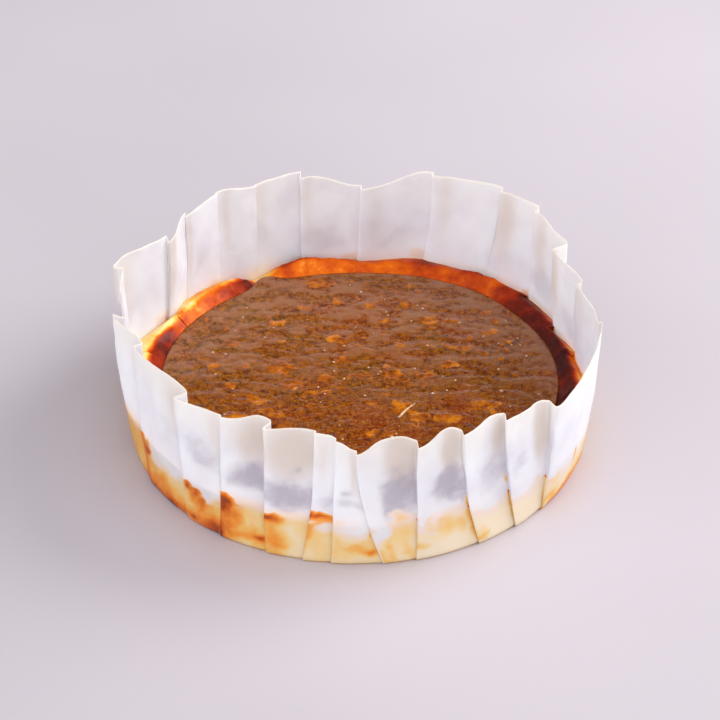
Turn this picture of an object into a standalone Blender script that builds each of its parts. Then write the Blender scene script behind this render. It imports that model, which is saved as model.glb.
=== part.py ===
# A baked cheesecake with a layer of fruit jam, standing in its pleated baking paper.
#
# The origin is the middle of the underside of the paper, on the surface that the cake stands on.
# +Z is up and the side of the cake that is seen first faces -Y. Lengths are metres, angles degrees.
# Three separate solids: the cake, the jam in its sunken top, and the paper round and under both.

import math

import bmesh
import bpy

# Overall sizes
BASE_RADIUS = 0.1125        # underside of the pleated paper
PAPER_THICKNESS = 0.0006    # the creased paper with its folded layers
CLEARANCE = 0.0004          # between two pieces that touch
JAM_LEVEL = 0.0250          # mean height of the jam's surface
JAM_RADIUS = 0.0985         # mean radius of the jam's edge
JAM_DEPTH = 0.0060          # jam over the middle of the cake
JAM_EDGE_DEPTH = 0.0020     # jam at its edge
JAM_BRINK_WIDTH = 0.0012    # from the jam's edge out to where the rim starts to rise
JAM_BRINK_RISE = 0.0006     # height of that line above the jam's level
RIM_CREST = 0.0283          # mean height of the browned rim
RIM_CREST_INSET = 0.0050    # from the paper in to the rim's crest
RIM_SHOULDER = 0.0252       # mean height at which the cake meets the paper

# The paper's pleats, anticlockwise as seen from above. Each one starts at a sharp fold that
# stands out, and runs inward to its other end, which tucks behind the next pleat.
#   angle of the fold at the top, how far out the fold reaches past BASE_RADIUS, how far out
#   the tucked end reaches, height of the paper at the fold, height at the tucked end,
#   how far round the fold's foot lies from its top
PLEATS = (
    (-172.0, 0.0062, -0.0035, 0.0750, 0.0760, 4.0),
    (-158.0, 0.0015, -0.0015, 0.0745, 0.0775, 4.0),
    (-134.0, 0.0040, 0.0010, 0.0725, 0.0735, -2.0),
    (-123.0, 0.0025, -0.0040, 0.0735, 0.0775, -3.0),
    (-111.0, 0.0025, -0.0015, 0.0745, 0.0755, -2.0),
    (-99.8, 0.0010, 0.0002, 0.0762, 0.0752, -4.0),
    (-95.2, 0.0035, 0.0050, 0.0742, 0.0705, -2.0),
    (-90.5, 0.0060, 0.0012, 0.0688, 0.0748, 6.0),
    (-76.8, 0.0056, 0.0018, 0.0698, 0.0756, 0.0),
    (-66.3, 0.0060, 0.0025, 0.0720, 0.0756, 6.0),
    (-55.2, 0.0068, 0.0068, 0.0728, 0.0750, 6.0),
    (-43.2, 0.0105, 0.0050, 0.0695, 0.0745, 3.0),
    (-10.0, 0.0032, -0.0055, 0.0738, 0.0730, 2.0),
    (8.0, -0.0030, -0.0085, 0.0740, 0.0755, 2.0),
    (24.0, 0.0005, 0.0035, 0.0760, 0.0772, -2.0),
    (40.5, 0.0065, 0.0055, 0.0785, 0.0780, -2.0),
    (52.5, 0.0070, 0.0040, 0.0788, 0.0775, 3.0),
    (71.5, 0.0055, -0.0060, 0.0778, 0.0710, 1.0),
    (90.0, -0.0035, 0.0010, 0.0712, 0.0765, 1.0),
    (106.0, 0.0030, 0.0020, 0.0782, 0.0772, -2.0),
    (118.5, 0.0015, 0.0050, 0.0760, 0.0782, 0.0),
    (129.5, 0.0040, 0.0010, 0.0772, 0.0758, 0.0),
    (141.0, 0.0015, -0.0045, 0.0765, 0.0735, 2.0),
    (151.5, -0.0020, 0.0112, 0.0752, 0.0760, 0.0),
    (168.5, 0.0060, 0.0005, 0.0745, 0.0735, 2.0),
)
COLUMNS_PER_PLEAT = 6       # columns of faces across one pleat
TUCK_ANGLE = 1.3            # from a pleat's tucked end to the next fold
FOOT_CREASE = 0.0012        # depth of the crease that a fold leaves in the cake's side

# Heights of the paper's rows of faces up to the cake's shoulder, then as shares of what is left
CAKE_ROWS = (0.0055, 0.0130, 0.0200)
COLLAR_ROWS = (0.12, 0.42, 0.72, 1.0)


def smooth(t):
    """An even step from 0 to 1."""
    t = min(max(t, 0.0), 1.0)
    return t * t * (3.0 - 2.0 * t)


def mix(a, b, t):
    return a + (b - a) * t


def paper_columns():
    """For each column of the pleated wall: its angle at the top and at the foot, its radius at
    the top and at the foot, and the height of the paper's edge."""
    columns = []
    for number, pleat in enumerate(PLEATS):
        following = PLEATS[(number + 1) % len(PLEATS)]
        angle, fold_reach, end_reach, fold_height, end_height, lean = pleat
        next_angle = following[0] + (360.0 if following[0] < angle else 0.0)
        end_angle = next_angle - TUCK_ANGLE
        for step in range(COLUMNS_PER_PLEAT):
            t = step / (COLUMNS_PER_PLEAT - 1)
            top_angle = mix(angle, end_angle, t)
            foot_angle = top_angle + mix(lean, following[5], t)
            top_radius = BASE_RADIUS + mix(fold_reach, end_reach, smooth(t))
            foot_radius = BASE_RADIUS - FOOT_CREASE * smooth(t)
            height = mix(fold_height, end_height, smooth(t))
            columns.append((top_angle, foot_angle, top_radius, foot_radius, height))
    return columns


def wall_point(column, z, inset=0.0):
    """A point on the wall's outer face at height z, moved inward by inset."""
    top_angle, foot_angle, top_radius, foot_radius, height = column
    share = min(z / height, 1.0)
    angle = math.radians(mix(foot_angle, top_angle, share))
    radius = mix(foot_radius, top_radius, math.sin(0.5 * math.pi * share)) - inset
    return (radius * math.cos(angle), radius * math.sin(angle), z)


def bump(angle, centre, width):
    """A smooth hump round the cake, 1 at its centre."""
    offset = (angle - centre + 180.0) % 360.0 - 180.0
    return math.exp(-(offset / width) ** 2)


def crest_height(angle):
    """The browned rim's crest rises and falls round the cake, with a low gap at the back left."""
    a = math.radians(angle)
    height = RIM_CREST + 0.0008 * math.sin(3.0 * a + 0.6) + 0.0006 * math.sin(7.0 * a + 2.0)
    height += 0.0014 * bump(angle, 104.0, 7.0) - 0.0030 * bump(angle, 120.0, 5.0)
    height += 0.0012 * bump(angle, 52.0, 6.0) - 0.0014 * bump(angle, 87.0, 5.0)
    return height


def shoulder_height(angle):
    """Where the cake's top meets the paper."""
    a = math.radians(angle)
    height = RIM_SHOULDER + 0.0009 * math.sin(5.0 * a + 1.0) + 0.0007 * math.sin(11.0 * a)
    return height - 0.0022 * bump(angle, 120.0, 6.0) - 0.0015 * bump(angle, 75.0, 14.0)


def jam_radius(angle):
    """The jam's edge wanders in and out along the rim."""
    a = math.radians(angle)
    radius = JAM_RADIUS + 0.0010 * math.sin(2.0 * a - 1.4) + 0.0008 * math.sin(5.0 * a + 0.4)
    return radius - 0.0040 * bump(angle, 88.0, 20.0) + 0.0015 * bump(angle, 50.0, 12.0)


def jam_surface(angle, share):
    """Height of the jam's surface, share of the way from its middle to its edge."""
    a = math.radians(angle)
    swell = 0.0004 * math.sin(2.0 * a + 4.0 * share) + 0.0003 * math.sin(3.0 * a - 6.0 * share)
    return JAM_LEVEL + swell * math.sin(math.pi * share)


def bed_height(share):
    """Height of the cake under the jam, share of the way from the middle to the jam's edge."""
    depth = mix(JAM_DEPTH, JAM_EDGE_DEPTH, share ** 3)
    return JAM_LEVEL - depth - CLEARANCE


def ring(mesh, points):
    return [mesh.verts.new(point) for point in points]


def bridge(mesh, lower, upper):
    """Faces between two rings that run the same way, facing out when upper is above lower."""
    count = len(lower)
    for index in range(count):
        after = (index + 1) % count
        mesh.faces.new((lower[index], lower[after], upper[after], upper[index]))


def cap(mesh, points, centre, faces_up):
    """A fan of faces from a ring to one middle point."""
    middle = mesh.verts.new(centre)
    count = len(points)
    for index in range(count):
        pair = (points[index], points[(index + 1) % count])
        if faces_up:
            mesh.faces.new((pair[0], pair[1], middle))
        else:
            mesh.faces.new((pair[1], pair[0], middle))


def material(name, colour, roughness):
    """A plain surface with one colour and one roughness."""
    made = bpy.data.materials.new(name)
    made.use_nodes = True
    shader = made.node_tree.nodes["Principled BSDF"]
    shader.inputs["Base Color"].default_value = (*colour, 1.0)
    shader.inputs["Roughness"].default_value = roughness
    shader.inputs["Metallic"].default_value = 0.0
    return made


def add_object(name, mesh, surface):
    """Turn the built mesh into a named object with its own material."""
    bmesh.ops.triangulate(mesh, faces=mesh.faces[:])
    data = bpy.data.meshes.new(name)
    mesh.to_mesh(data)
    mesh.free()
    data.materials.append(surface)
    data.shade_smooth()
    data.set_sharp_from_angle(angle=math.radians(35.0))
    made = bpy.data.objects.new(name, data)
    bpy.context.collection.objects.link(made)
    return made


def row_heights(column, with_floor):
    """Heights of the wall's rows in one column, from the foot to the paper's edge."""
    shoulder = CAKE_ROWS[-1]
    edge = column[4]
    collar = [mix(shoulder, edge, share) for share in COLLAR_ROWS]
    return [with_floor, *CAKE_ROWS, *collar]


def build_paper(columns):
    """The baking paper: a flat disc under the cake and a pleated wall that stands above it."""
    mesh = bmesh.new()
    outer = []
    inner = []
    for row in range(1 + len(CAKE_ROWS) + len(COLLAR_ROWS)):
        outside = [wall_point(column, row_heights(column, 0.0)[row]) for column in columns]
        inside = [
            wall_point(column, row_heights(column, PAPER_THICKNESS)[row], PAPER_THICKNESS)
            for column in columns
        ]
        outer.append(ring(mesh, outside))
        inner.append(ring(mesh, inside))
    for lower, upper in zip(outer, outer[1:]):
        bridge(mesh, lower, upper)
    for lower, upper in zip(inner, inner[1:]):
        bridge(mesh, upper, lower)
    bridge(mesh, outer[-1], inner[-1])
    cap(mesh, outer[0], (0.0, 0.0, 0.0), faces_up=False)
    cap(mesh, inner[0], (0.0, 0.0, PAPER_THICKNESS), faces_up=True)
    return add_object("paper", mesh, material("baking_paper", (0.83, 0.78, 0.72), 0.55))


def build_cake(columns):
    """The cake: creased side, raised browned rim and a sunken bed under the jam."""
    mesh = bmesh.new()
    inset = PAPER_THICKNESS + CLEARANCE
    angles = [column[1] for column in columns]
    rows = [ring(mesh, [wall_point(column, inset, inset) for column in columns])]
    for height in CAKE_ROWS:
        rows.append(ring(mesh, [wall_point(column, height, inset) for column in columns]))
    shoulder = [wall_point(c, shoulder_height(c[1]), inset) for c in columns]
    rows.append(ring(mesh, shoulder))
    crest = [
        wall_point(c, crest_height(c[1]), inset + RIM_CREST_INSET) for c in columns
    ]
    outer_slope = [
        wall_point(c, mix(shoulder_height(c[1]), crest_height(c[1]), 0.80), inset + 0.0018)
        for c in columns
    ]
    rows.append(ring(mesh, outer_slope))
    rows.append(ring(mesh, crest))
    brink = []
    for angle in angles:
        a = math.radians(angle)
        radius = jam_radius(angle) + JAM_BRINK_WIDTH
        brink.append((radius * math.cos(a), radius * math.sin(a), JAM_LEVEL + JAM_BRINK_RISE))
    rows.append(ring(mesh, brink))
    wall = []
    for angle in angles:
        a = math.radians(angle)
        radius = jam_radius(angle) + CLEARANCE
        wall.append((radius * math.cos(a), radius * math.sin(a), bed_height(1.0)))
    rows.append(ring(mesh, wall))
    for share in (0.66, 0.33):
        points = []
        for angle in angles:
            a = math.radians(angle)
            radius = jam_radius(angle) * share
            points.append((radius * math.cos(a), radius * math.sin(a), bed_height(share)))
        rows.append(ring(mesh, points))
    for lower, upper in zip(rows, rows[1:]):
        bridge(mesh, lower, upper)
    cap(mesh, rows[0], (0.0, 0.0, inset), faces_up=False)
    cap(mesh, rows[-1], (0.0, 0.0, bed_height(0.0)), faces_up=True)
    return add_object("cake", mesh, material("baked_cheesecake", (0.72, 0.38, 0.12), 0.5))


def build_jam(columns):
    """The jam: one thin lens that fills the sunken top up to its level."""
    mesh = bmesh.new()
    angles = [column[1] for column in columns[::2]]
    under = []
    over = []
    for share in (0.33, 0.66, 1.0):
        below = []
        above = []
        for angle in angles:
            a = math.radians(angle)
            radius = jam_radius(angle) * share
            below.append((radius * math.cos(a), radius * math.sin(a), bed_height(share) + CLEARANCE))
            above.append((radius * math.cos(a), radius * math.sin(a), jam_surface(angle, share)))
        under.append(ring(mesh, below))
        over.append(ring(mesh, above))
    cap(mesh, under[0], (0.0, 0.0, bed_height(0.0) + CLEARANCE), faces_up=False)
    for inner_ring, outer_ring in zip(under, under[1:]):
        bridge(mesh, inner_ring, outer_ring)
    bridge(mesh, under[-1], over[-1])
    for outer_ring, inner_ring in zip(reversed(over), reversed(over[:-1])):
        bridge(mesh, outer_ring, inner_ring)
    cap(mesh, over[0], (0.0, 0.0, jam_surface(0.0, 0.0)), faces_up=True)
    return add_object("jam", mesh, material("fruit_jam", (0.24, 0.09, 0.02), 0.2))


def main():
    for old in list(bpy.data.objects):
        bpy.data.objects.remove(old, do_unlink=True)
    columns = paper_columns()
    build_paper(columns)
    build_cake(columns)
    build_jam(columns)


main()
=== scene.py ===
# The looks of a baked cheesecake with fruit jam in its pleated baking paper.
#
# Three pieces replace the three CAD solids: a thin sheet of paper with real laps, a cake with a
# lumpy browned rim, and a jam with relief. Fruit pieces lie in the jam, with tiny pale bits on it as
# painted highlights that stand in for glints.
# Lengths are metres and angles degrees, counted anticlockwise from +X as seen from above.

import math
import random

import bpy
import numpy as np
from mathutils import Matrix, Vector, noise


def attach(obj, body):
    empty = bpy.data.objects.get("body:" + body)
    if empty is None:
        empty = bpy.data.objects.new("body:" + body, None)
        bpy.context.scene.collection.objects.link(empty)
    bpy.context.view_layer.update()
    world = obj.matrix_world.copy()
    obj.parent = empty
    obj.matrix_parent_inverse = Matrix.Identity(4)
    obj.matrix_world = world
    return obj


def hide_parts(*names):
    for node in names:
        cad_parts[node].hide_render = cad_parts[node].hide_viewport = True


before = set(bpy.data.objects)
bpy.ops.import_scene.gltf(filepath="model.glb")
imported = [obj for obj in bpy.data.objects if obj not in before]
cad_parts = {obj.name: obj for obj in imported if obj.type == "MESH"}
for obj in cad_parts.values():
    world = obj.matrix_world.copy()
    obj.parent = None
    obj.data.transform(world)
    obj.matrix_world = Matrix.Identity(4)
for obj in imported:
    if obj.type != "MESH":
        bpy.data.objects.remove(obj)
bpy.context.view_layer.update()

# Sizes shared with the CAD model
BASE_RADIUS = 0.1125
JAM_LEVEL = 0.0250
JAM_RADIUS = 0.0985
RIM_CREST = 0.0283
RIM_SHOULDER = 0.0252
JAM_DEPTH = 0.0060

# The paper's pleats as in the CAD model: angle of the fold at the top, how far out past
# BASE_RADIUS the fold and the tucked end reach, paper height at both, lean of the fold's foot.
PLEATS = (
    (-172.0, 0.0062, -0.0035, 0.0750, 0.0760, 4.0),
    (-158.0, 0.0015, -0.0015, 0.0745, 0.0775, 4.0),
    (-134.0, 0.0040, 0.0010, 0.0725, 0.0735, -2.0),
    (-123.0, 0.0025, -0.0040, 0.0735, 0.0775, -3.0),
    (-111.0, 0.0025, -0.0015, 0.0745, 0.0755, -2.0),
    (-99.8, 0.0010, 0.0002, 0.0762, 0.0752, -4.0),
    (-95.2, 0.0035, 0.0050, 0.0742, 0.0705, -2.0),
    (-90.5, 0.0060, 0.0012, 0.0688, 0.0748, 6.0),
    (-76.8, 0.0056, 0.0018, 0.0698, 0.0756, 0.0),
    (-66.3, 0.0060, 0.0025, 0.0720, 0.0756, 6.0),
    (-55.2, 0.0068, 0.0068, 0.0728, 0.0750, 6.0),
    (-43.2, 0.0105, 0.0050, 0.0695, 0.0745, 3.0),
    (-10.0, 0.0032, -0.0055, 0.0738, 0.0730, 2.0),
    (8.0, -0.0030, -0.0085, 0.0740, 0.0755, 2.0),
    (24.0, 0.0005, 0.0035, 0.0760, 0.0772, -2.0),
    (40.5, 0.0065, 0.0055, 0.0785, 0.0780, -2.0),
    (52.5, 0.0070, 0.0040, 0.0788, 0.0775, 3.0),
    (71.5, 0.0055, -0.0060, 0.0778, 0.0710, 1.0),
    (90.0, -0.0035, 0.0010, 0.0712, 0.0765, 1.0),
    (106.0, 0.0030, 0.0020, 0.0782, 0.0772, -2.0),
    (118.5, 0.0015, 0.0050, 0.0760, 0.0782, 0.0),
    (129.5, 0.0040, 0.0010, 0.0772, 0.0758, 0.0),
    (141.0, 0.0015, -0.0045, 0.0765, 0.0735, 2.0),
    (151.5, -0.0020, 0.0112, 0.0752, 0.0760, 0.0),
    (168.5, 0.0060, 0.0005, 0.0745, 0.0735, 2.0),
)
# Free edge of some pleats: how many degrees the tail runs on behind this fold at the top, the
# stretch of the pleat over which its edge rises, how far its far corner drops, how far its
# middle sinks in.
EDGE_SHAPES = {
    -172.0: (0.5, 0.0, 1.0, 0.0010, 0.0),
    -158.0: (0.8, 0.1, 0.8, 0.0022, -0.0008),
    -134.0: (3.0, 0.0, 1.0, 0.0, -0.0004),
    -123.0: (0.4, 0.3, 0.8, 0.0026, -0.0012),
    -111.0: (1.4, 0.1, 0.6, 0.0004, -0.0010),
    -99.8: (0.5, 0.0, 1.0, 0.0014, 0.0),
    -95.2: (0.0, 0.0, 1.0, 0.0, 0.0),
    -90.5: (0.3, 0.05, 0.42, 0.0034, -0.0014),
    -76.8: (0.5, 0.2, 0.62, 0.0030, -0.0016),
    -66.3: (0.6, 0.15, 0.72, 0.0012, -0.0014),
    -55.2: (1.2, 0.42, 0.78, 0.0030, -0.0016),
    -43.2: (0.2, 0.05, 0.35, 0.0, 0.0006),
}
PLAIN_EDGE = (1.0, 0.1, 0.8, 0.0012, -0.0006)
FACE_STEPS = (0.0, 0.05, 0.2, 0.36, 0.52, 0.68, 0.83, 0.95, 1.0)   # control columns of a pleat
SAMPLES = 3                 # columns of the mesh for each control column
WALL_ROWS = 58
LAP_FOOT = 1.8              # degrees of lap where the cake presses the folds flat
LAYER = 0.0005              # between two layers of a pressed lap
FOLD_SWAY = 0.0005          # how far a fold wanders sideways
SHEET = 0.00022             # thickness of the paper
FOOT_ROUND = 0.0012         # rounding where the wall meets the table
WALL_SHARES = (0.0, 0.005, 0.014) + tuple(0.03 + 0.97 * row / WALL_ROWS for row in range(WALL_ROWS + 1))
DISC_SHARES = (0.985, 0.93, 0.8, 0.6, 0.4, 0.2, 0.06)    # rings of the paper under the cake

# Oil and sugar stains on the paper's outside: fold angle of the pleat, place along the pleat,
# height in mm, half width (share of the pleat), half height in mm, darkness.
STAINS = (
    (-172.0, 0.70, 20.0, 0.16, 4.0, 0.55), (-172.0, 0.80, 9.0, 0.20, 9.0, 0.35),
    (-172.0, 0.80, 1.5, 0.30, 3.5, 0.75),
    (-158.0, 0.07, 22.0, 0.13, 5.0, 0.85), (-158.0, 0.03, 11.0, 0.08, 9.0, 0.50),
    (-158.0, 0.50, 8.0, 0.42, 6.5, 0.40), (-158.0, 0.12, 2.0, 0.25, 3.6, 0.80),
    (-158.0, 0.75, 2.0, 0.35, 3.2, 0.78),
    (-134.0, 0.10, 22.5, 0.11, 3.4, 0.72), (-134.0, 0.28, 19.0, 0.12, 3.0, 0.62),
    (-134.0, 0.45, 15.0, 0.12, 3.6, 0.48), (-134.0, 0.40, 8.0, 0.50, 6.0, 0.48),
    (-134.0, 0.08, 3.5, 0.22, 3.4, 0.78), (-134.0, 0.85, 4.5, 0.22, 4.0, 0.60),
    (-123.0, 0.07, 22.5, 0.13, 6.5, 0.95), (-123.0, 0.28, 16.0, 0.18, 6.0, 0.52),
    (-123.0, 0.14, 8.0, 0.22, 6.0, 0.62), (-123.0, 0.48, 6.0, 0.30, 4.5, 0.60),
    (-123.0, 0.08, 3.0, 0.12, 2.6, 0.85), (-123.0, 0.72, 8.0, 0.11, 3.0, 0.85),
    (-123.0, 0.92, 14.0, 0.10, 9.0, 0.55),
    (-111.0, 0.09, 24.0, 0.15, 3.0, 1.00), (-111.0, 0.30, 22.5, 0.14, 3.0, 0.58),
    (-111.0, 0.14, 14.0, 0.20, 8.0, 0.52), (-111.0, 0.32, 8.0, 0.22, 5.0, 0.38),
    (-99.8, 0.00, 14.0, 0.05, 17.0, 0.50), (-99.8, 0.06, 29.5, 0.14, 2.0, 1.00),
    (-99.8, 0.40, 28.5, 0.30, 1.6, 0.85), (-99.8, 0.80, 27.0, 0.25, 1.4, 0.55),
    (-99.8, 0.50, 24.0, 0.60, 3.5, 0.34), (-99.8, 0.10, 18.0, 0.12, 8.0, 0.34),
    (-95.2, 0.55, 11.0, 0.40, 4.5, 0.42), (-95.2, 0.86, 8.5, 0.16, 2.6, 0.72),
    (-95.2, 0.95, 19.0, 0.07, 5.0, 0.60),
    (-90.5, 0.70, 25.0, 0.32, 9.0, 0.30), (-90.5, 0.38, 9.0, 0.10, 7.0, 0.34),
    (-90.5, 0.74, 7.0, 0.09, 7.0, 0.28), (-90.5, 0.12, 3.0, 0.14, 4.0, 0.30),
    (-76.8, 0.30, 22.0, 0.20, 4.5, 0.30), (-76.8, 0.60, 18.0, 0.18, 6.5, 0.28),
    (-76.8, 0.15, 10.0, 0.10, 3.0, 0.38), (-76.8, 0.80, 15.0, 0.08, 6.0, 0.28),
    (-76.8, 0.94, 27.0, 0.06, 8.0, 0.50), (-76.8, 0.965, 14.0, 0.045, 7.0, 0.80),
    (-66.3, 0.10, 6.0, 0.14, 2.6, 0.45), (-66.3, 0.93, 31.0, 0.06, 8.0, 0.34),
    (-66.3, 0.95, 16.0, 0.05, 14.0, 0.58), (-66.3, 0.98, 2.0, 0.06, 3.0, 0.70),
    (-55.2, 0.90, 25.0, 0.10, 3.5, 0.30), (-55.2, 0.72, 22.0, 0.10, 2.5, 0.24),
    (-43.2, 0.10, 21.0, 0.07, 4.0, 0.32), (-43.2, 0.05, 8.0, 0.10, 4.0, 0.50),
    (-43.2, 0.20, 2.0, 0.18, 3.5, 0.80), (-43.2, 0.50, 3.0, 0.25, 4.5, 0.75),
    (-43.2, 0.42, 20.0, 0.04, 6.0, 0.50), (-43.2, 0.75, 10.0, 0.16, 8.0, 0.40),
)
# Grey patches of painted shade where the dark jam and rim lie behind the paper, in the same terms.
SHADOWS = (
    (-158.0, 0.75, 45.0, 0.32, 8.0, 0.32), (-134.0, 0.60, 47.0, 0.42, 9.0, 0.48),
    (-123.0, 0.66, 42.0, 0.44, 10.0, 0.80), (-111.0, 0.56, 37.0, 0.64, 9.5, 0.88),
    (-111.0, 0.70, 52.0, 0.07, 1.5, 0.50), (-99.8, 0.60, 37.0, 0.50, 5.0, 0.40),
    (-95.2, 0.55, 45.0, 0.24, 2.2, 0.50), (-95.2, 0.60, 37.0, 0.45, 4.5, 0.45),
    (-90.5, 0.68, 42.0, 0.40, 13.0, 0.90), (-90.5, 0.38, 42.0, 0.20, 10.0, 0.45),
    (-76.8, 0.76, 45.0, 0.28, 11.0, 0.70), (-76.8, 0.60, 40.0, 0.24, 8.0, 0.42),
    (-66.3, 0.66, 44.0, 0.42, 10.0, 0.48), (-55.2, 0.30, 42.0, 0.26, 6.0, 0.38),
)
# Dry white areas that reach down into the soaked band.
DRY_AREAS = (
    (-158.0, 0.62, 22.0, 0.34, 7.0, 0.75), (-134.0, 0.68, 23.0, 0.32, 5.0, 0.55),
    (-99.8, 0.70, 20.0, 0.50, 4.0, 0.40), (-95.2, 0.60, 22.0, 0.40, 6.0, 0.70),
    (-90.5, 0.10, 22.0, 0.16, 17.0, 1.00), (-76.8, 0.10, 24.0, 0.16, 9.0, 0.70),
    (-66.3, 0.45, 22.0, 0.40, 10.0, 0.55), (-55.2, 0.40, 20.0, 0.45, 10.0, 0.60),
    (-43.2, 0.30, 22.0, 0.30, 12.0, 0.55), (-43.2, 0.75, 24.0, 0.30, 9.0, 0.50),
)
# Where two layers lap before the next fold, so that the paper looks beige and less clear, and greyer
# with painted shade from the fold in front.
LAPS_AND_SHADE = (
    (-172.0, 0.80, 58.0, 0.20, 16.0, 0.40), (-158.0, 0.80, 60.0, 0.22, 16.0, 0.50),
    (-134.0, 0.85, 60.0, 0.18, 16.0, 0.40), (-123.0, 0.66, 63.0, 0.36, 14.0, 0.80),
    (-111.0, 0.55, 62.0, 0.50, 15.0, 0.90), (-99.8, 0.40, 62.0, 0.35, 14.0, 0.35),
    (-95.2, 0.80, 58.0, 0.20, 16.0, 0.50), (-90.5, 0.72, 62.0, 0.27, 17.0, 1.00),
    (-76.8, 0.76, 63.0, 0.20, 15.0, 0.90), (-66.3, 0.84, 63.0, 0.16, 14.0, 0.70),
    (-55.2, 0.82, 58.0, 0.17, 20.0, 0.90), (-43.2, 0.92, 60.0, 0.10, 20.0, 0.50),
)
SEEN_SIDE = (-175.0, -30.0)  # pleats between these fold angles are listed above

# Browning of the rim by angle, with painted shade making the right side (about -30 to 20 degrees) darker
# where the wall shades it: tone at its outer edge and at the jam, 0 cream to 1 nearly black.
RIM_TONES = (
    (-180.0, 0.05, 0.70), (-150.0, 0.20, 0.60), (-120.0, 0.30, 0.80), (-90.0, 0.20, 0.55),
    (-60.0, 0.35, 0.75), (-30.0, 0.35, 0.90), (-15.0, 0.60, 0.92), (-5.0, 0.16, 0.85),
    (-2.0, 0.10, 0.80), (4.0, 0.40, 0.92), (9.0, 0.35, 0.95), (13.0, 0.22, 0.90), (20.0, 0.80, 0.86),
    (27.0, 0.34, 0.84), (33.0, 0.80, 0.80), (40.0, 0.78, 0.74), (46.0, 0.42, 0.60),
    (49.0, 0.10, 0.42), (53.0, 0.90, 0.55), (58.0, 0.74, 0.50), (65.0, 0.55, 0.44),
    (72.0, 0.72, 0.55), (77.0, 0.50, 0.38), (84.0, 0.42, 0.36), (90.0, 0.52, 0.44),
    (98.0, 0.46, 0.36), (103.0, 0.62, 0.34), (108.0, 0.92, 0.32), (112.0, 0.66, 0.50),
    (115.0, 0.14, 0.30), (121.0, 0.10, 0.26), (124.0, 0.60, 0.90), (128.0, 0.16, 0.62),
    (133.0, 0.24, 0.58), (139.0, 0.26, 0.42), (145.0, 0.04, 0.30), (150.0, 0.30, 0.40),
    (155.0, 0.03, 0.42), (159.0, 0.08, 0.70), (165.0, 0.10, 0.78), (172.0, 0.06, 0.64),
    (180.0, 0.05, 0.70),
)

# Fruit pieces that show in the jam: x, y, half length, half width in mm, turn in degrees.
FRUIT = (
    (-43, 50, 5.0, 3.2, 8), (-65, 31, 4.4, 2.4, -6), (-12, 70, 2.6, 2.8, 20), (6, 64, 3.2, 2.6, 0),
    (15, 51, 5.0, 1.9, -10), (35, 51, 5.2, 3.2, -24), (47, 51, 4.2, 2.0, -12), (-11, 34, 4.0, 4.6, 30),
    (50, 28, 7.2, 1.9, -2), (-39, 10, 5.4, 6.6, 35), (-34, -4, 5.0, 4.4, -30), (-57, 12, 2.6, 1.8, 0),
    (-63, -5, 4.2, 2.6, 12), (-17, 1, 4.2, 2.6, 20), (0, 3, 5.4, 2.2, 0), (15, 7, 5.2, 4.6, -15),
    (21, 2, 3.6, 2.6, -30), (45, 12, 5.0, 2.3, 4), (33, 3, 5.0, 2.6, -8), (-20, -12, 7.4, 2.3, 8),
    (-9, -9, 5.0, 2.2, -6), (66, 40, 4.6, 1.7, 16), (-8, 17, 4.8, 2.5, 10), (-53, -17, 8.0, 3.0, -14),
    (-35, -40, 3.6, 2.8, -20), (20, -24, 6.0, 5.0, 0), (29, -31, 5.5, 4.0, 12), (5, -20, 4.4, 2.4, 0),
    (-72, 12, 4.0, 2.4, 10), (78, 4, 2.6, 2.2, 0), (60, -22, 8.5, 3.8, 10), (44, -32, 6.5, 4.0, 0),
    (-60, -30, 6.0, 3.0, -20), (70, 52, 3.4, 1.6, -14), (-42, -28, 6.5, 3.0, -12), (72, 26, 3.6, 1.8, 6),
    (-28, 62, 3.8, 1.6, 12), (-20, 86, 8.0, 3.0, 4), (62, 22, 2.8, 1.8, 0), (10, -45, 7.0, 3.4, 10),
    (-8, -58, 6.5, 3.2, -6), (34, -58, 6.0, 3.0, 14), (-30, -62, 5.0, 3.0, 0), (8, -78, 5.5, 2.6, 8),
)


def mix(a, b, t):
    return a + (b - a) * t


def smooth(t):
    t = np.clip(t, 0.0, 1.0)
    return t * t * (3.0 - 2.0 * t)


def ramp(value, low, high):
    """0 below low, 1 above high, smooth between."""
    return smooth((np.asarray(value, dtype=float) - low) / (high - low))


def bump(angle, centre, width):
    """1 at an angle, fading out over a width, all in degrees."""
    offset = (np.asarray(angle) - centre + 180.0) % 360.0 - 180.0
    return np.exp(-((offset / width) ** 2))


def fractal(points, size, octaves=3, seed=0.0):
    """Soft noise about 0 for an array of points, with lumps of about the given size."""
    shift = Vector((seed * 17.3, seed * 5.1, seed * 9.7))
    values = [noise.fractal(Vector(p) / size + shift, 0.8, 2.1, octaves) for p in points]
    return np.array(values)


# --------------------------------------------------------------------------- paper

def spline(controls, samples):
    """A closed uniform cubic B-spline through rows of control values."""
    p0 = np.roll(controls, 1, axis=0)
    p1 = controls
    p2 = np.roll(controls, -1, axis=0)
    p3 = np.roll(controls, -2, axis=0)
    out = []
    for step in range(samples):
        t = step / samples
        b0 = (1 - t) ** 3 / 6
        b1 = (3 * t ** 3 - 6 * t ** 2 + 4) / 6
        b2 = (-3 * t ** 3 + 3 * t ** 2 + 3 * t + 1) / 6
        b3 = t ** 3 / 6
        out.append(b0 * p0 + b1 * p1 + b2 * p2 + b3 * p3)
    return np.stack(out, axis=1).reshape(-1, controls.shape[1])


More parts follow.
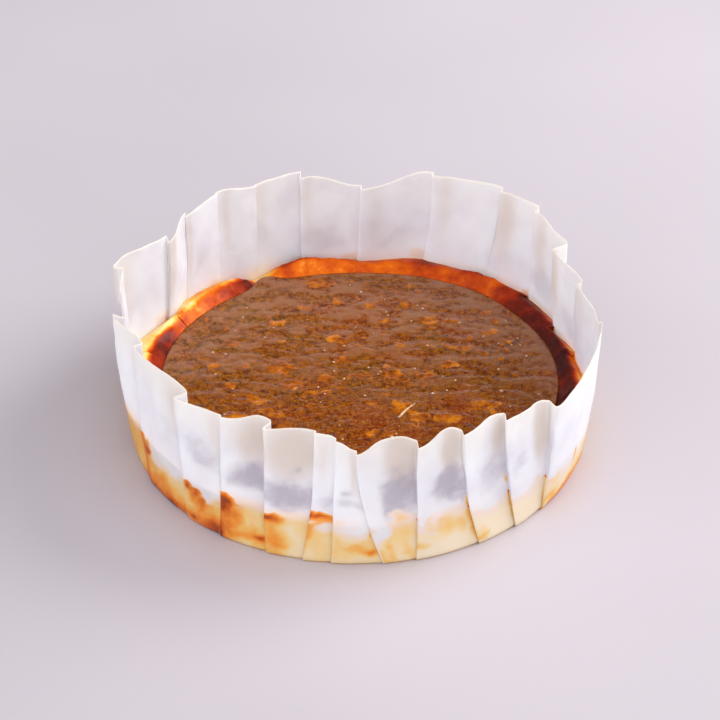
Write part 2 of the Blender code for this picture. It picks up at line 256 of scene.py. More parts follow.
def sheet_columns():
    """Columns of the pleated wall, one row each: x and y at the top, x and y at the foot,
    height, place along the pleat (0 fold, 1 tail)."""
    controls = []
    count = len(PLEATS)
    for number, pleat in enumerate(PLEATS):
        angle, fold_reach, end_reach, fold_height, end_height, lean = pleat
        following = PLEATS[(number + 1) % count]
        next_angle = following[0] + (360.0 if following[0] < angle else 0.0)
        lap, rise_from, rise_to, corner, sink = EDGE_SHAPES.get(angle, PLAIN_EDGE)
        pressed = float(ramp(following[1] - end_reach, 0.0, 0.0015))
        for t in FACE_STEPS:
            ease = float(smooth(t))
            rise = float(ramp(t, rise_from, rise_to))
            top_angle = mix(angle - lap, next_angle, t)
            foot_angle = mix(angle + lean, next_angle + following[5] + LAP_FOOT * pressed, t)
            reach = mix(fold_reach, end_reach, ease) + sink * math.sin(math.pi * t)
            foot_radius = BASE_RADIUS - 2.0 * LAYER * pressed * ease
            height = mix(fold_height, end_height, rise) - corner * float(ramp(t, 0.74, 1.0))
            top = math.radians(top_angle)
            foot = math.radians(foot_angle)
            controls.append((
                (BASE_RADIUS + reach) * math.cos(top), (BASE_RADIUS + reach) * math.sin(top),
                foot_radius * math.cos(foot), foot_radius * math.sin(foot),
                height, t,
            ))
    return spline(np.array(controls), SAMPLES)


def pleat_numbers():
    """Which pleat each column of the wall belongs to."""
    return np.repeat(np.arange(len(PLEATS)), len(FACE_STEPS) * SAMPLES)


def patches(spots, place, points, numbers, seed, warp=1.0):
    """Soft irregular spots on the wall: 0 nowhere to 1 full at each point."""
    order = [pleat[0] for pleat in PLEATS]
    flat = points.reshape(-1, 3)
    sideways = fractal(flat, 0.012, 3, seed).reshape(place.shape) * 0.22 * warp
    upward = fractal(flat, 0.012, 3, seed + 1.0).reshape(place.shape) * 6.0 * warp
    left_over = np.ones(np.shape(place))
    for angle, centre, level, width, tall, strength in spots:
        u = (place + sideways * min(1.0, width / 0.12) - centre) / width
        v = (points[:, :, 2] * 1000.0 + upward * min(1.0, tall / 5.0) - level) / tall
        value = strength * np.exp(-0.85 * (u * u + v * v) ** 1.15)
        left_over *= np.where(numbers == order.index(angle), 1.0 - value, 1.0)
    return 1.0 - left_over


def unseen_spots():
    """Stains, grey patches of painted shade and laps with painted shade, like the listed ones, for the
    other pleats.
    """
    rng = random.Random(11)
    stains = []
    shadows = []
    lap_shade_spots = []
    for pleat in PLEATS:
        angle = pleat[0]
        if SEEN_SIDE[0] < angle < SEEN_SIDE[1]:
            continue
        dark = rng.uniform(0.45, 1.0)
        stains.append((angle, 0.08, rng.uniform(21.0, 26.0), 0.16, rng.uniform(2.5, 6.0), dark))
        stains.append((angle, rng.uniform(0.2, 0.7), rng.uniform(5.0, 16.0), 0.35, 6.0,
                       rng.uniform(0.25, 0.55)))
        stains.append((angle, rng.uniform(0.1, 0.8), 2.0, 0.4, 3.5, rng.uniform(0.4, 0.85)))
        stains.append((angle, 0.96, rng.uniform(10.0, 24.0), 0.05, 9.0, rng.uniform(0.3, 0.8)))
        shadows.append((angle, rng.uniform(0.55, 0.8), rng.uniform(38.0, 47.0), 0.32, 8.0,
                        rng.uniform(0.2, 0.9)))
        lap_shade_spots.append((angle, rng.uniform(0.72, 0.9), 60.0, rng.uniform(0.08, 0.24), 22.0,
                     rng.uniform(0.3, 0.9)))
    return tuple(stains), tuple(shadows), tuple(lap_shade_spots)


def wall_positions(columns, z, inset=0.0):
    """Points of the wall at heights z, one for each column."""
    share = np.clip(z / columns[:, 4], 0.0, 1.0)
    rise = np.sin(0.5 * math.pi * share)
    x = mix(columns[:, 2], columns[:, 0], rise)
    y = mix(columns[:, 3], columns[:, 1], rise)
    radius = np.hypot(x, y)
    phase = 2.4 * pleat_numbers()
    sway = FOLD_SWAY * np.sin(z / 0.014 + phase) * share * (1.0 - share) * 4.0
    x, y = x - sway * y / radius, y + sway * x / radius
    scale = (radius - inset - FOOT_ROUND * np.exp(-z / (0.8 * FOOT_ROUND))) / radius
    return np.stack([x * scale, y * scale, z + 0.0 * x], axis=1)


def closed_faces(rows, columns):
    """Quads of a grid that closes round its columns, with a cap on its first and last row."""
    faces = []
    for row in range(rows - 1):
        for column in range(columns):
            after = (column + 1) % columns
            a = row * columns + column
            b = row * columns + after
            faces.append((a, b, b + columns, a + columns))
    faces.append(tuple(range(columns))[::-1])
    last = (rows - 1) * columns
    faces.append(tuple(range(last, last + columns)))
    return faces


def add_mesh(name, points, faces, masks):
    """A smooth mesh object that carries one number a point for each mask."""
    mesh = bpy.data.meshes.new(name)
    mesh.from_pydata([tuple(p) for p in points], [], faces)
    mesh.validate()
    for key, values in masks.items():
        layer = mesh.attributes.new(key, "FLOAT", "POINT")
        layer.data.foreach_set("value", np.asarray(values, dtype=np.float32))
    mesh.shade_smooth()
    made = bpy.data.objects.new(name, mesh)
    bpy.context.collection.objects.link(made)
    return made


def outer_skin(columns):
    """The wall's outside from the foot up to the free edge, a little crumpled."""
    skin = np.stack([wall_positions(columns, share * columns[:, 4]) for share in WALL_SHARES])
    flat = skin.reshape(-1, 3)
    free = ramp(flat[:, 2], RIM_SHOULDER, RIM_SHOULDER + 0.02)
    crumple = fractal(flat * np.array([1.0, 1.0, 0.5]), 0.016, 3, 1.0) * 0.0009
    crumple = crumple * (0.3 + 0.7 * free)
    radial = flat[:, :2] / np.linalg.norm(flat[:, :2], axis=1)[:, None]
    flat[:, :2] += radial * crumple[:, None]
    return flat.reshape(skin.shape)


def inner_skin(outer):
    """The outer skin moved in by the sheet's thickness along its own normal."""
    along = np.roll(outer, -1, axis=1) - np.roll(outer, 1, axis=1)
    up = np.gradient(outer, axis=0)
    normal = np.cross(along, up)
    normal /= np.linalg.norm(normal, axis=2)[:, :, None] + 1e-12
    inner = outer - normal * SHEET
    inner[0, :, 2] = SHEET
    return inner


def disc_rings(foot, level):
    """Flat rings from the wall's foot in to the middle."""
    rings = []
    for share in DISC_SHARES:
        ring = foot * share
        ring[:, 2] = level
        rings.append(ring)
    return np.stack(rings)


def paper_masks(columns, stack):
    """Where the paper's looks change, as values from 0 to 1 for the material."""
    shape = stack.shape[:2]
    disc = len(DISC_SHARES)
    rows = len(WALL_SHARES)
    place = np.broadcast_to(columns[:, 5], shape)
    numbers = np.broadcast_to(pleat_numbers(), shape)
    outside = np.zeros(shape)
    outside[:disc + rows] = 1.0
    wall = np.ones(shape)
    wall[:disc] = 0.0
    wall[disc + 2 * rows:] = 0.0
    # the cut edge, where a pale line is painted as a highlight
    edge = np.zeros(shape)
    edge[disc + rows - 1:disc + rows + 1] = 1.0
    more_stains, more_shadows, more_lap_shade = unseen_spots()
    masks = {
        "stain": patches(STAINS + more_stains, place, stack, numbers, 31.0) * wall,
        "shadow": patches(SHADOWS + more_shadows, place, stack, numbers, 33.0) * wall,
        "dry": patches(DRY_AREAS, place, stack, numbers, 35.0) * wall,
        "lap_shade": patches(LAPS_AND_SHADE + more_lap_shade, place, stack, numbers, 37.0, 0.15) * wall,
        "outside": outside,
        "edge": edge,
        "wall": wall,
    }
    return {name: values.reshape(-1) for name, values in masks.items()}


def build_paper(columns):
    """A thin closed sheet: outer skin, free edge, inner skin and the disc under the cake."""
    outer = outer_skin(columns)
    under = disc_rings(outer[0], 0.0)[::-1]
    over = disc_rings(outer[0], SHEET)
    stack = np.concatenate([under, outer, inner_skin(outer)[::-1], over])
    faces = closed_faces(stack.shape[0], len(columns))
    return add_mesh("paper_sheet", stack.reshape(-1, 3), faces, paper_masks(columns, stack))


# --------------------------------------------------------------------------- cake

GAP_ANGLE = 118.5           # where the rim is so low that the jam meets the paper
CREST_PLACE = 0.38          # the rim's crest, as a share of the way from the paper to the jam
RIM_RINGS = 22
CAKE_GAP = SHEET + 0.0002   # from the paper's outside to the cake


def crest_height(angle):
    """Height of the rim's highest line at an angle."""
    a = np.radians(angle)
    height = RIM_CREST + 0.0008 * np.sin(3.0 * a + 0.6) + 0.0006 * np.sin(7.0 * a + 2.0)
    height = height + 0.0014 * bump(angle, 104.0, 7.0) - 0.0030 * bump(angle, 120.0, 5.0)
    return height + 0.0012 * bump(angle, 52.0, 6.0) - 0.0014 * bump(angle, 87.0, 5.0)


def shoulder_height(angle):
    """Height at which the rim leaves the paper at an angle."""
    a = np.radians(angle)
    height = RIM_SHOULDER + 0.0009 * np.sin(5.0 * a + 1.0) + 0.0007 * np.sin(11.0 * a)
    return height - 0.0022 * bump(angle, 120.0, 6.0) - 0.0015 * bump(angle, 75.0, 14.0)


def jam_radius(angle):
    """Radius of the jam's edge at an angle."""
    a = np.radians(angle)
    radius = JAM_RADIUS + 0.0010 * np.sin(2.0 * a - 1.4) + 0.0008 * np.sin(5.0 * a + 0.4)
    return radius - 0.0040 * bump(angle, 88.0, 20.0) + 0.0015 * bump(angle, 50.0, 12.0)


def rim_tone(stack, inward):
    """Browning of the cake's points, with painted shade on the right, from RIM_TONES by angle and the
    way in from the paper.
    """
    around = np.degrees(np.arctan2(stack[:, :, 1], stack[:, :, 0]))
    table = np.array(RIM_TONES)
    outer_tone = np.interp(around, table[:, 0], table[:, 1])
    inner_tone = np.interp(around, table[:, 0], table[:, 2])
    left = bump(around, 155.0, 40.0)
    tone = mix(outer_tone, inner_tone, ramp(inward, mix(0.15, 0.42, left), mix(0.5, 0.62, left)))
    return mix(0.05, tone, ramp(inward, 0.0, 0.05))


def build_cake(columns):
    """Side, lumpy rim and sunken bed, as rings from the underside up and in to the middle."""
    foot = wall_positions(columns, np.zeros(len(columns)) + CAKE_GAP, CAKE_GAP)
    angle = np.degrees(np.arctan2(foot[:, 1], foot[:, 0]))
    rings = []
    for share in (0.0, 0.10, 0.35, 0.65, 0.9):
        z = mix(CAKE_GAP, shoulder_height(angle), share)
        rings.append(wall_positions(columns, z, CAKE_GAP))
    side_rings = len(rings)
    # the rim, from the paper over the crest and down to the jam
    edge = wall_positions(columns, shoulder_height(angle), CAKE_GAP)
    edge_angle = np.degrees(np.arctan2(edge[:, 1], edge[:, 0]))
    jam_edge = jam_radius(edge_angle) - 0.0015
    a = np.radians(edge_angle)
    jam_line = np.stack([jam_edge * np.cos(a), jam_edge * np.sin(a)], axis=1)
    across = np.linspace(0.0, 1.0, RIM_RINGS)
    low_place = bump(edge_angle, GAP_ANGLE, 5.0)
    crest = crest_height(edge_angle) - 0.0035 * low_place
    shoulder = shoulder_height(edge_angle) - 0.0020 * low_place
    for t in across:
        xy = mix(edge[:, :2], jam_line, t)
        if t < CREST_PLACE:
            top = mix(shoulder, crest, smooth(t / CREST_PLACE))
        else:
            fall = smooth((t - CREST_PLACE) / (1.0 - CREST_PLACE))
            top = mix(JAM_LEVEL - 0.0014, crest, 1.0 - fall)
        rings.append(np.column_stack([xy, top]))
    # the bed under the jam
    bed = len(rings)
    for share in (0.9, 0.6, 0.3, 0.05):
        z = np.full(len(columns), JAM_LEVEL - 0.002 - JAM_DEPTH * (1.0 - share ** 3))
        rings.append(np.column_stack([jam_line * share, z]))
    stack = np.stack(rings)
    flat = stack[side_rings:bed].reshape(-1, 3)
    lumps = fractal(flat, 0.006, 3, 3.0) * 0.0009 + fractal(flat, 0.0022, 2, 4.0) * 0.00022
    hold = np.repeat(np.sin(np.pi * np.clip(across, 0.02, 1.0)) ** 0.6, len(columns))
    flat[:, 2] += lumps * hold
    stack[side_rings:bed] = flat.reshape(bed - side_rings, -1, 3)
    inward = np.zeros(stack.shape[:2])
    inward[side_rings:bed] = across[:, None]
    inward[bed:] = 1.0
    faces = closed_faces(stack.shape[0], len(columns))
    masks = {"tone": rim_tone(stack, inward).reshape(-1)}
    return add_mesh("cake_body", stack.reshape(-1, 3), faces, masks)


# --------------------------------------------------------------------------- jam

JAM_RINGS = 124
JAM_COLUMNS = 400
JAM_MIDDLE = 0.004          # the innermost ring, as a share of the radius
SMALL_FRUIT = 150


def fruit_list():
    """The listed fruit pieces and many small ones, in metres and radians with a strength."""
    rng = random.Random(4)
    pieces = []
    for x, y, length, width, turn in FRUIT:
        pieces.append((x * 0.001, y * 0.001, length * 0.001, width * 0.001, math.radians(turn), 1.0))
    for _ in range(SMALL_FRUIT):
        distance = JAM_RADIUS * 0.95 * math.sqrt(rng.random())
        angle = rng.uniform(0.0, 2.0 * math.pi)
        length = rng.uniform(0.0011, 0.0030)
        pieces.append((
            distance * math.cos(angle), distance * math.sin(angle), length,
            length * rng.uniform(0.35, 0.8), rng.uniform(-0.8, 0.8), rng.uniform(0.3, 0.8),
        ))
    return pieces


def chunk_field(points):
    """How far each point lies in a sunk fruit piece, 0 to 1."""
    field = np.zeros(len(points))
    warp = np.column_stack([fractal(points, 0.006, 3, 21.0), fractal(points, 0.006, 3, 22.0)]) * 0.0022
    for x, y, length, width, turn, strength in fruit_list():
        offset = points[:, :2] + warp - np.array([x, y])
        u = offset[:, 0] * math.cos(turn) + offset[:, 1] * math.sin(turn)
        v = -offset[:, 0] * math.sin(turn) + offset[:, 1] * math.cos(turn)
        reach = (np.abs(u) / length) ** 2.2 + (np.abs(v) / width) ** 2.2
        field = np.maximum(field, strength * (1.0 - ramp(reach, 0.5, 1.5)))
    return field


def build_jam():
    """The jam's skin with soft waves and lumps, closed underneath."""
    angles = np.linspace(-180.0, 180.0, JAM_COLUMNS, endpoint=False)
    a = np.radians(angles)
    edge = jam_radius(angles) + 0.0006 + 0.0070 * bump(angles, GAP_ANGLE, 5.0)
    shares = np.maximum(1.0 - np.arange(JAM_RINGS + 1) / JAM_RINGS, JAM_MIDDLE)
    rings = []
    for share in shares:
        radius = edge * share
        rings.append(np.column_stack([radius * np.cos(a), radius * np.sin(a), 0.0 * a + JAM_LEVEL]))
    top = np.stack(rings)
    flat = top.reshape(-1, 3)
    share = np.repeat(shares, JAM_COLUMNS)
    chunk = chunk_field(flat)
    stretch = np.array([0.5, 1.0, 1.0])
    waves = fractal(flat * stretch, 0.0065, 4, 7.0)
    ridges = 1.0 - 2.0 * np.abs(fractal(flat * stretch, 0.010, 3, 12.0))
    swell = fractal(flat, 0.035, 2, 8.0)
    front = ramp(flat[:, 1], 0.03, -0.05)
    hold = 1.0 - ramp(share, 0.94, 1.0)
    lift = waves * 0.0006 + (ridges - 0.6) * mix(0.0003, 0.0008, front)
    lift = lift + swell * 0.0004 + chunk * 0.0006
    flat[:, 2] += lift * hold
    flat[:, 2] -= 0.0003 * ramp(share, 0.985, 1.0)
    under = []
    for under_share in (1.0, 0.6, 0.2):
        ring = top[0] * under_share
        ring[:, 2] = JAM_LEVEL - 0.0015 - JAM_DEPTH * 0.7 * (1.0 - under_share ** 3)
        under.append(ring)
    stack = np.concatenate([np.stack(under[::-1]), top])
    faces = closed_faces(stack.shape[0], JAM_COLUMNS)
    pad = np.zeros(len(under) * JAM_COLUMNS)
    masks = {
        "chunk": np.concatenate([pad, chunk]),
        "waves": np.concatenate([pad, waves]),
        "ridges": np.concatenate([pad, ridges]),
    }
    return add_mesh("jam_layer", stack.reshape(-1, 3), faces, masks)


SLIVER_TIP = (0.0272, -0.0215)
SLIVER_TAIL = (0.0190, -0.0325)
SLIVER_WIDTH = 0.0011
GLINT_BITS = 70


def build_sliver():
    """A pale curved shred that lies half sunk in the jam."""
    steps = 14
    tip = np.array(SLIVER_TIP)
    tail = np.array(SLIVER_TAIL)
    along = tip - tail
    across = np.array([-along[1], along[0]]) / np.linalg.norm(along)
    points = []
    for step in range(steps + 1):
        t = step / steps
        middle = mix(tail, tip, t) + across * 0.0006 * math.sin(math.pi * t)
        half = SLIVER_WIDTH * (0.12 + 0.88 * math.sin(math.pi * min(1.0, 0.25 + 0.7 * t)) ** 1.3) * 0.6
        lift = JAM_LEVEL + 0.0007 + 0.0005 * t
        for side, height in ((-1.0, 0.0), (-0.4, 0.0004), (0.4, 0.0005), (1.0, 0.0), (0.0, -0.0012)):
            xy = middle + across * half * side
            points.append((xy[0], xy[1], lift + height))
    faces = []
    for step in range(steps):
        for k in range(5):
            a = step * 5 + k
            b = step * 5 + (k + 1) % 5
            faces.append((a, b, b + 5, a + 5))
    faces.append((4, 3, 2, 1, 0))
    last = steps * 5
    faces.append((last, last + 1, last + 2, last + 3, last + 4))
    return add_mesh("fruit_sliver", points, faces, {})


def build_glint_bits():
    """Tiny pale bits on the jam that stand in for glints: painted highlights."""
    rng = random.Random(9)
    points = []
    faces = []
    around = 7
    for _ in range(GLINT_BITS):
        distance = JAM_RADIUS * 0.93 * math.sqrt(rng.random())
        angle = rng.uniform(0.0, 2.0 * math.pi)
        centre_x = distance * math.cos(angle)
        centre_y = distance * math.sin(angle)
        size = rng.uniform(0.00022, 0.00052)
        stretch = rng.uniform(1.0, 2.0)
        start = len(points)
        for ring, (radius, height) in enumerate(((1.0, -0.6), (1.0, 0.3), (0.6, 0.85))):
            for k in range(around):
                a = 2.0 * math.pi * k / around
                points.append((
                    centre_x + size * stretch * radius * math.cos(a),
                    centre_y + size * radius * math.sin(a),
                    JAM_LEVEL + 0.0006 + size * height,
                ))
            if ring:
                for k in range(around):
                    a = start + (ring - 1) * around + k
                    b = start + (ring - 1) * around + (k + 1) % around
                    faces.append((a, b, b + around, a + around))
        faces.append(tuple(start + k for k in range(around))[::-1])
        faces.append(tuple(start + 2 * around + k for k in range(around)))
    return add_mesh("painted_glints", points, faces, {})


# --------------------------------------------------------------------------- materials

def linear(red, green, blue):
    """An sRGB colour given as 0 to 255, as linear values with alpha."""
    out = []
    for value in (red, green, blue):
        c = value / 255.0
        out.append(c / 12.92 if c <= 0.04045 else ((c + 0.055) / 1.055) ** 2.4)
    return (*out, 1.0)


class Nodes:
    """Short names for making and joining shader nodes of one material."""

    def __init__(self, name):
        self.material = bpy.data.materials.new(name)
        self.material.use_nodes = True
        self.tree = self.material.node_tree
        self.shader = self.tree.nodes["Principled BSDF"]
        coordinates = self.tree.nodes.new("ShaderNodeTexCoord")
        self.place = coordinates.outputs["Object"]

    def join(self, source, target):
        self.tree.links.new(source, target)

    def feed(self, socket, value):
        if isinstance(value, bpy.types.NodeSocket):
            self.join(value, socket)
        else:
            socket.default_value = value

    def attribute(self, name):
        node = self.tree.nodes.new("ShaderNodeAttribute")
        node.attribute_name = name
        return node.outputs["Fac"]

    def noise(self, scale, detail=3.0, roughness=0.55, stretch=None):
        node = self.tree.nodes.new("ShaderNodeTexNoise")
        node.inputs["Scale"].default_value = scale
        node.inputs["Detail"].default_value = detail
        node.inputs["Roughness"].default_value = roughness
        place = self.place
        if stretch:
            mapping = self.tree.nodes.new("ShaderNodeMapping")
            mapping.inputs["Scale"].default_value = stretch
            self.join(place, mapping.inputs["Vector"])
            place = mapping.outputs["Vector"]
        self.join(place, node.inputs["Vector"])
        return node.outputs["Fac"]

    def math(self, operation, a, b):
        node = self.tree.nodes.new("ShaderNodeMath")
        node.operation = operation
        self.feed(node.inputs[0], a)
        self.feed(node.inputs[1], b)
        return node.outputs[0]

    def add(self, a, b):
        return self.math("ADD", a, b)

    def times(self, a, b):
        return self.math("MULTIPLY", a, b)

    def larger(self, a, b):
        return self.math("MAXIMUM", a, b)

    def wander(self, amount, *texture):
        """Noise about 0, with the given amount from its lowest to its highest."""
        return self.times(self.math("SUBTRACT", self.noise(*texture), 0.5), amount)

    def ramp(self, value, low, high, bottom=0.0, top=1.0):
        node = self.tree.nodes.new("ShaderNodeMapRange")
        node.interpolation_type = "SMOOTHSTEP"
        self.feed(node.inputs["Value"], value)
        node.inputs["From Min"].default_value = low
        node.inputs["From Max"].default_value = high
        node.inputs["To Min"].default_value = bottom
        node.inputs["To Max"].default_value = top
        return node.outputs["Result"]

    def blend(self, amount, first, second):
        node = self.tree.nodes.new("ShaderNodeMix")
        node.data_type = "RGBA"
        self.feed(node.inputs["Factor"], amount)
        self.feed(node.inputs["A"], first)
        self.feed(node.inputs["B"], second)
        return node.outputs["Result"]

    def stops(self, value, stops):
        node = self.tree.nodes.new("ShaderNodeValToRGB")
        band = node.color_ramp
        while len(band.elements) < len(stops):
            band.elements.new(0.5)
        for element, (position, colour) in zip(band.elements, stops):
            element.position = position
            element.color = colour
        self.join(value, node.inputs["Fac"])
        return node.outputs["Color"]

    def bump(self, height, distance, strength=1.0):
        node = self.tree.nodes.new("ShaderNodeBump")
        node.inputs["Strength"].default_value = strength
        node.inputs["Distance"].default_value = distance
        self.join(height, node.inputs["Height"])
        self.join(node.outputs["Normal"], self.shader.inputs["Normal"])

    def let_light_through(self, colour, amount):
        """Mix in a translucent share, as for thin paper."""
        behind = self.tree.nodes.new("ShaderNodeBsdfTranslucent")
        self.feed(behind.inputs["Color"], colour)
        mixed = self.tree.nodes.new("ShaderNodeMixShader")
        mixed.inputs[0].default_value = amount
        self.join(self.shader.outputs[0], mixed.inputs[1])
        self.join(behind.outputs[0], mixed.inputs[2])
        self.join(mixed.outputs[0], self.tree.nodes["Material Output"].inputs["Surface"])

    def axis(self, index):
        node = self.tree.nodes.new("ShaderNodeSeparateXYZ")
        self.join(self.place, node.inputs[0])
        return node.outputs[index]


def paper_material():
    n = Nodes("baking_paper_look")
    x = n.axis(0)
    z = n.axis(2)
    outside = n.attribute("outside")
    # dry paper: white, a little beige and greyer where layers lap, the grey being painted shade
    white = n.blend(n.ramp(n.noise(45.0, 3.0), 0.35, 0.7), linear(250, 251, 255), linear(243, 242, 248))
    warm = n.times(n.ramp(z, 0.050, 0.072, 0.0, 0.8), outside)
    white = n.blend(warm, white, linear(250, 247, 243))
    lap_shade = n.times(n.ramp(n.attribute("lap_shade"), 0.0, 0.8), n.ramp(outside, 0.0, 1.0, 0.5, 0.9))
    dry = n.blend(lap_shade, white, linear(232, 221, 213))
    # painted highlight: a pale cream line along the cut edge
    dry = n.blend(n.times(n.attribute("edge"), 0.6), dry, linear(255, 244, 226))
    # painted shade: grey where the dark rim and jam lie behind the paper
    shadow = n.attribute("shadow")
    shadow = n.add(shadow, n.times(shadow, n.wander(0.7, 300.0, 4.0, 0.75)))
    shadow = n.times(n.ramp(shadow, 0.08, 0.85), outside)
    dry = n.blend(n.times(shadow, 0.85), dry, linear(194, 188, 200))
    # soaked paper over the cake's pale side
    level = n.add(z, n.add(n.wander(0.012, 45.0, 3.0, 0.55), n.times(n.attribute("dry"), 0.014)))
    soaked = n.larger(n.ramp(level, 0.0330, 0.0170), n.ramp(n.attribute("stain"), 0.10, 0.40))
    soaked = n.times(soaked, outside)
    # its browning: stains, a wash that is stronger on the left, and a dark line at the foot
    underside = n.times(n.math("SUBTRACT", 1.0, n.attribute("wall")), 0.45)
    stain = n.larger(n.times(n.attribute("stain"), 0.78), underside)
    wash = n.ramp(n.noise(38.0, 4.0, 0.6, stretch=(1.0, 1.0, 0.8)), 0.40, 0.62)
    left = n.ramp(x, 0.05, -0.09)
    burn = n.add(n.times(left, n.add(0.12, n.times(wash, 0.26))), stain)
    burn = n.add(burn, n.times(n.wander(0.55, 70.0, 4.0, 0.6), n.add(n.times(stain, 0.6), 0.35)))
    burn = n.add(burn, n.times(n.wander(0.22, 240.0, 3.0, 0.6), stain))
    burn = n.add(burn, n.ramp(z, 0.0016, 0.0004, 0.0, 0.22))
    band = n.stops(burn, (
        (0.00, linear(255, 242, 218)),
        (0.14, linear(255, 229, 172)),
        (0.34, linear(255, 208, 116)),
        (0.58, linear(255, 168, 62)),
        (0.80, linear(226, 108, 22)),
        (1.00, linear(140, 50, 12)),
    ))
    rosy = n.blend(n.ramp(soaked, 0.0, 0.45), dry, linear(253, 238, 228))
    colour = n.blend(n.ramp(soaked, 0.35, 1.0), rosy, band)
    n.join(colour, n.shader.inputs["Base Color"])
    n.join(n.ramp(soaked, 0.0, 1.0, 0.62, 0.36), n.shader.inputs["Roughness"])
    n.bump(n.noise(700.0, 3.0), 0.00005, 0.4)
    n.let_light_through(colour, 0.38)
    return n.material


def cake_material():
    n = Nodes("cheesecake_look")
    # tone: browning, with painted shade on the right side of the rim
    base = n.attribute("tone")
    lumps = n.wander(n.ramp(base, 0.0, 0.5, 0.18, 0.5), 160.0, 4.0, 0.6)
    tone = n.add(n.add(base, lumps), n.wander(0.14, 600.0, 3.0, 0.6))
    colour = n.stops(tone, (
        (0.02, linear(252, 224, 160)),
        (0.15, linear(248, 186, 74)),
        (0.30, linear(228, 108, 2)),
        (0.46, linear(196, 72, 0)),
        (0.62, linear(152, 38, 0)),
        (0.80, linear(98, 20, 4)),
        (0.98, linear(46, 10, 6)),
    ))
    n.join(colour, n.shader.inputs["Base Color"])
    n.join(n.ramp(n.noise(120.0, 3.0), 0.3, 0.7, 0.30, 0.50), n.shader.inputs["Roughness"])
    n.shader.inputs["Specular IOR Level"].default_value = 0.12
    n.shader.inputs["Subsurface Weight"].default_value = 0.1
    n.shader.inputs["Subsurface Radius"].default_value = (1.0, 0.5, 0.2)
    n.shader.inputs["Subsurface Scale"].default_value = 0.002
    n.bump(n.noise(300.0, 3.0), 0.0002, 0.4)
    return n.material


def jam_material():
    n = Nodes("jam_look")
    x = n.axis(0)
    y = n.axis(1)
    speck = n.noise(1000.0, 2.0, 0.7)
    fleck = n.noise(420.0, 3.0, 0.65)
    # olive to orange jelly, more orange to the right and the front
    patch = n.noise(60.0, 4.0, 0.6, stretch=(0.6, 1.0, 1.0))
    patch = n.add(patch, n.ramp(x, -0.09, 0.09, -0.05, 0.05))
    patch = n.add(patch, n.ramp(y, 0.01, -0.07, 0.0, 0.14))
    olive = n.stops(patch, (
        (0.30, linear(102, 62, 2)),
        (0.50, linear(116, 54, 0)),
        (0.70, linear(128, 46, 0)),
    ))
    grainy = n.blend(n.ramp(fleck, 0.46, 0.62, 0.0, 0.85), olive, linear(146, 82, 8))
    grainy = n.blend(n.ramp(fleck, 0.46, 0.34, 0.0, 0.85), grainy, linear(70, 28, 2))
    # painted reflection: a hazy grey-brown sheen on the flats, stronger away from the front
    painted_haze = n.add(n.attribute("waves"), n.times(n.attribute("ridges"), 0.5))
    painted_haze = n.add(painted_haze, n.math("SUBTRACT", n.noise(130.0, 4.0, 0.65), 0.5))
    painted_haze = n.times(n.ramp(painted_haze, 0.02, 0.72), n.ramp(y, -0.06, 0.05, 0.06, 1.0))
    hazed = n.blend(n.times(painted_haze, 0.78), grainy, linear(144, 94, 62))
    # clear fruit pieces
    amber = n.stops(n.noise(170.0, 4.0, 0.65), (
        (0.36, linear(102, 48, 0)),
        (0.50, linear(162, 80, 0)),
        (0.66, linear(206, 122, 4)),
    ))
    shown = n.add(n.attribute("chunk"), n.times(n.math("SUBTRACT", fleck, 0.5), 0.5))
    shown = n.times(n.ramp(shown, 0.20, 0.60), 0.92)
    colour = n.blend(shown, hazed, amber)
    # light and dark specks, fewer under the painted haze and in the fruit
    plain = n.ramp(n.larger(painted_haze, shown), 0.0, 1.0, 0.60, 0.26)
    light = n.times(n.ramp(speck, 0.56, 0.68), plain)
    colour = n.blend(light, colour, linear(188, 116, 30))
    dark = n.times(n.ramp(speck, 0.43, 0.31), plain)
    colour = n.blend(dark, colour, linear(52, 20, 0))
    n.join(colour, n.shader.inputs["Base Color"])
    n.join(n.ramp(n.noise(90.0, 3.0), 0.3, 0.7, 0.09, 0.24), n.shader.inputs["Roughness"])
    n.shader.inputs["Specular IOR Level"].default_value = 0.36
    n.shader.inputs["Subsurface Weight"].default_value = 0.1
    n.shader.inputs["Subsurface Radius"].default_value = (1.0, 0.4, 0.1)
    n.shader.inputs["Subsurface Scale"].default_value = 0.002
    n.bump(n.add(fleck, n.times(speck, 0.5)), 0.0003, 0.4)
    return n.material


def pale_material(name, light, dark):
    """Pale wet bits in the jam: the fruit shred, and the bits that stand in for glints as painted
    highlights.
    """
    n = Nodes(name)
    n.join(n.blend(n.ramp(n.noise(900.0, 3.0), 0.35, 0.65), light, dark), n.shader.inputs["Base Color"])
    n.shader.inputs["Roughness"].default_value = 0.25
    return n.material


# --------------------------------------------------------------------------- stage

FLOOR_HALF = 4.0
WINDOW_PLACE = (1.4, 0.5, 1.15)
WINDOW_SIZE = 1.3
WINDOW_POWER = 28.0
CAMERA_PLACE = (0.0004, -0.9616, 0.7149)
CAMERA_DIP = 35.19          # degrees below level
LENS = 120.0                # mm, on a 36 mm sensor


def build_stage():
    """A plain pale floor."""
    half = FLOOR_HALF
    mesh = bpy.data.meshes.new("floor")
    corners = [(-half, -half, 0.0), (half, -half, 0.0), (half, half, 0.0), (-half, half, 0.0)]
    mesh.from_pydata(corners, [], [(0, 1, 2, 3)])
    floor = bpy.data.objects.new("floor", mesh)
    bpy.context.collection.objects.link(floor)
    n = Nodes("floor_look")
    tint = n.blend(n.ramp(n.noise(3.0, 2.0), 0.3, 0.7), linear(187, 179, 187), linear(192, 184, 192))
    n.join(tint, n.shader.inputs["Base Color"])
    n.shader.inputs["Roughness"].default_value = 0.7
    mesh.materials.append(n.material)


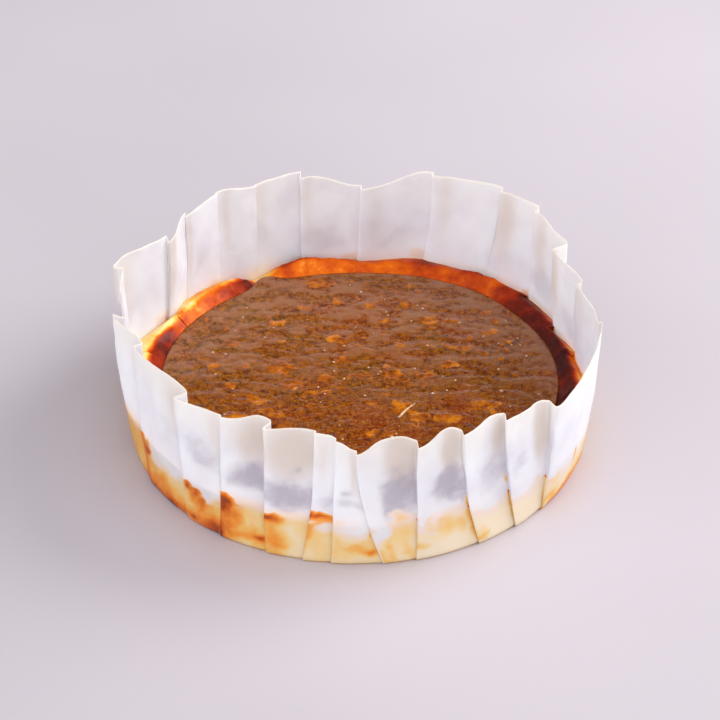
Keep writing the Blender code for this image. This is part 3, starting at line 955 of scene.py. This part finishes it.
def area_light(name, place, target, size, power):
    """A white round lamp that faces the target."""
    data = bpy.data.lights.new(name, "AREA")
    data.shape = "DISK"
    data.size = size
    data.energy = power
    data.color = (1.0, 1.0, 1.0)
    lamp = bpy.data.objects.new(name, data)
    lamp.location = place
    lamp.rotation_euler = (Vector(target) - Vector(place)).to_track_quat("-Z", "Y").to_euler()
    bpy.context.collection.objects.link(lamp)


def build_lights():
    """White surround, brighter on the near side, and a soft white window on the right."""
    world = bpy.data.worlds.new("surround")
    world.use_nodes = True
    tree = world.node_tree
    background = tree.nodes["Background"]
    background.inputs["Color"].default_value = (1.0, 1.0, 1.0, 1.0)
    direction = tree.nodes.new("ShaderNodeTexCoord").outputs["Generated"]
    axes = tree.nodes.new("ShaderNodeSeparateXYZ")
    tree.links.new(direction, axes.inputs[0])
    strength = tree.nodes.new("ShaderNodeMapRange")
    strength.inputs["From Min"].default_value = 0.75
    strength.inputs["From Max"].default_value = -0.35
    strength.inputs["To Min"].default_value = 0.10
    strength.inputs["To Max"].default_value = 1.50
    tree.links.new(axes.outputs[1], strength.inputs["Value"])
    tree.links.new(strength.outputs[0], background.inputs["Strength"])
    bpy.context.scene.world = world
    area_light("window", WINDOW_PLACE, (0.0, 0.0, JAM_LEVEL + 0.005), WINDOW_SIZE, WINDOW_POWER)


def build_camera():
    """The photograph's view: a long lens, about 35 degrees above level."""
    data = bpy.data.cameras.new("camera")
    data.lens = LENS
    data.sensor_width = 36.0
    camera = bpy.data.objects.new("camera", data)
    camera.location = CAMERA_PLACE
    camera.rotation_euler = (math.radians(90.0 - CAMERA_DIP), 0.0, 0.0)
    bpy.context.collection.objects.link(camera)
    bpy.context.scene.camera = camera


def finish_piece(piece, node, material):
    piece.data.materials.append(material)
    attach(piece, "root")
    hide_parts(node)


build_stage()
build_lights()
build_camera()
bpy.context.scene.view_settings.view_transform = "Standard"

sheet = sheet_columns()
finish_piece(build_paper(sheet), "paper", paper_material())
finish_piece(build_cake(sheet), "cake", cake_material())
finish_piece(build_jam(), "jam", jam_material())
sliver_look = pale_material("sliver_look", linear(226, 190, 150), linear(196, 140, 84))
# pale bits that stand in for glints: painted highlights
glint_look = pale_material("glint_look", linear(236, 214, 190), linear(204, 150, 96))
for bit, look in ((build_sliver(), sliver_look), (build_glint_bits(), glint_look)):
    bit.data.materials.append(look)
    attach(bit, "root")
